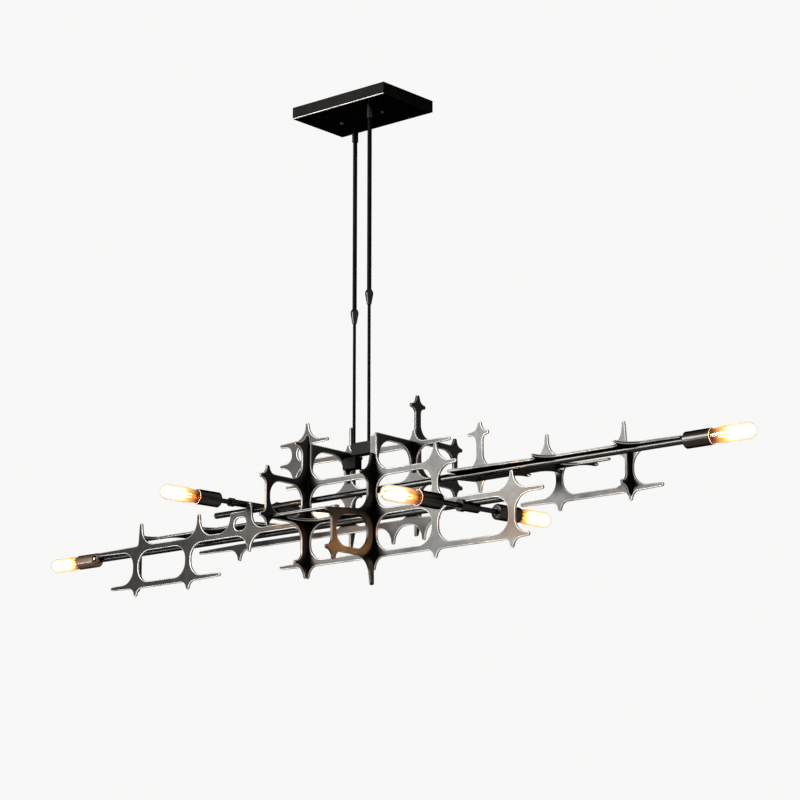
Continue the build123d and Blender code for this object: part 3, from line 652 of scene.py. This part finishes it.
floor_tone.color_ramp.elements[0].color = (0.85, 0.85, 0.845, 1.0)
floor_tone.color_ramp.elements[1].color = (0.88, 0.88, 0.875, 1.0)
floor_tree.links.new(mottle.outputs["Fac"], floor_tone.inputs["Fac"])
floor_tree.links.new(floor_tone.outputs["Color"], floor_shader.inputs["Base Color"])
underneath = floor_tree.nodes.new("ShaderNodeNewGeometry")
open_below = floor_tree.nodes.new("ShaderNodeBsdfTransparent")
one_sided = floor_tree.nodes.new("ShaderNodeMixShader")
floor_tree.links.new(underneath.outputs["Backfacing"], one_sided.inputs["Fac"])
floor_tree.links.new(floor_shader.outputs["BSDF"], one_sided.inputs[1])
floor_tree.links.new(open_below.outputs["BSDF"], one_sided.inputs[2])
floor_tree.links.new(one_sided.outputs["Shader"], floor_tree.nodes["Material Output"].inputs["Surface"])
floor.data.materials.append(floor_paint)

# Studio: a white surround to the eye, in the metal and through the glass, and a softer fill on all
# that is matt.
world = bpy.data.worlds.new("studio")
bpy.context.scene.world = world
world.use_nodes = True
sky = world.node_tree
surround = sky.nodes["Background"]
surround.inputs["Color"].default_value = (0.935, 0.935, 0.93, 1.0)
fill = sky.nodes.new("ShaderNodeBackground")
fill.inputs["Color"].default_value = (0.98, 0.98, 0.975, 1.0)
rays = sky.nodes.new("ShaderNodeLightPath")
eye_or_metal = sky.nodes.new("ShaderNodeMath")
eye_or_metal.operation = "MAXIMUM"
sky.links.new(rays.outputs["Is Camera Ray"], eye_or_metal.inputs[0])
sky.links.new(rays.outputs["Is Glossy Ray"], eye_or_metal.inputs[1])
seen = sky.nodes.new("ShaderNodeMath")
seen.operation = "MAXIMUM"
sky.links.new(eye_or_metal.outputs["Value"], seen.inputs[0])
sky.links.new(rays.outputs["Is Transmission Ray"], seen.inputs[1])
blend = sky.nodes.new("ShaderNodeMixShader")
sky.links.new(seen.outputs["Value"], blend.inputs["Fac"])
sky.links.new(fill.outputs["Background"], blend.inputs[1])
sky.links.new(surround.outputs["Background"], blend.inputs[2])
sky.links.new(blend.outputs["Shader"], sky.nodes["World Output"].inputs["Surface"])

# Softbox: one soft lamp on the left front, at about the canopy's height. The plates along the arms
# show it as a grey sheen.
hang_middle = Vector((0.1, 0.0, -0.68))


def studio_lamp(name, way, far, width, height, watts):
    """Flat lamp that faces the middle of the arms, so far off on the way given."""
    lamp_data = bpy.data.lights.new(name, "AREA")
    lamp_data.shape = "RECTANGLE"
    lamp_data.size = width
    lamp_data.size_y = height
    lamp_data.energy = watts
    flat_lamp = bpy.data.objects.new(name, lamp_data)
    bpy.context.collection.objects.link(flat_lamp)
    flat_lamp.location = hang_middle + way * far
    flat_lamp.rotation_euler = way.to_track_quat("Z", "Y").to_euler()
    flat_lamp.visible_camera = False
    return flat_lamp


softbox_way = Vector((-0.49, -0.84, 0.24)).normalized()
softbox = studio_lamp("softbox", softbox_way, far=2.6, width=1.1, height=1.1, watts=110.0)

# Strip lamp: a long thin lamp below the softbox and a little nearer. It draws a fine line of light
# along the tubes.
strip_way = Vector((-0.65, -0.73, -0.21)).normalized()
strip = studio_lamp("strip_lamp", strip_way, far=2.3, width=1.8, height=0.09, watts=24.0)

# Flag: light linking keeps both studio lamps off the floor, as a card would in a studio. Without it
# the floor burns out to white.
flagged = bpy.data.collections.new("flagged_off")
flagged.objects.link(floor)
flagged.collection_objects[0].light_linking.link_state = "EXCLUDE"
softbox.light_linking.receiver_collection = flagged
strip.light_linking.receiver_collection = flagged

# Camera: stands below and to the right of the chandelier with a long lens, and looks up along the
# photograph's line of sight.
sight_turn = radians(40.4)
sight_rise = radians(12.8)
camera_data = bpy.data.cameras.new("photo_camera")
camera_data.lens = 117.03
camera_data.sensor_width = 36.0
camera = bpy.data.objects.new("photo_camera", camera_data)
bpy.context.collection.objects.link(camera)
camera.location = (2.7009, -3.0775, -1.4323)
camera.rotation_euler = (pi / 2 + sight_rise, 0.0, sight_turn)
bpy.context.scene.camera = camera
bpy.context.scene.view_settings.view_transform = "Standard"
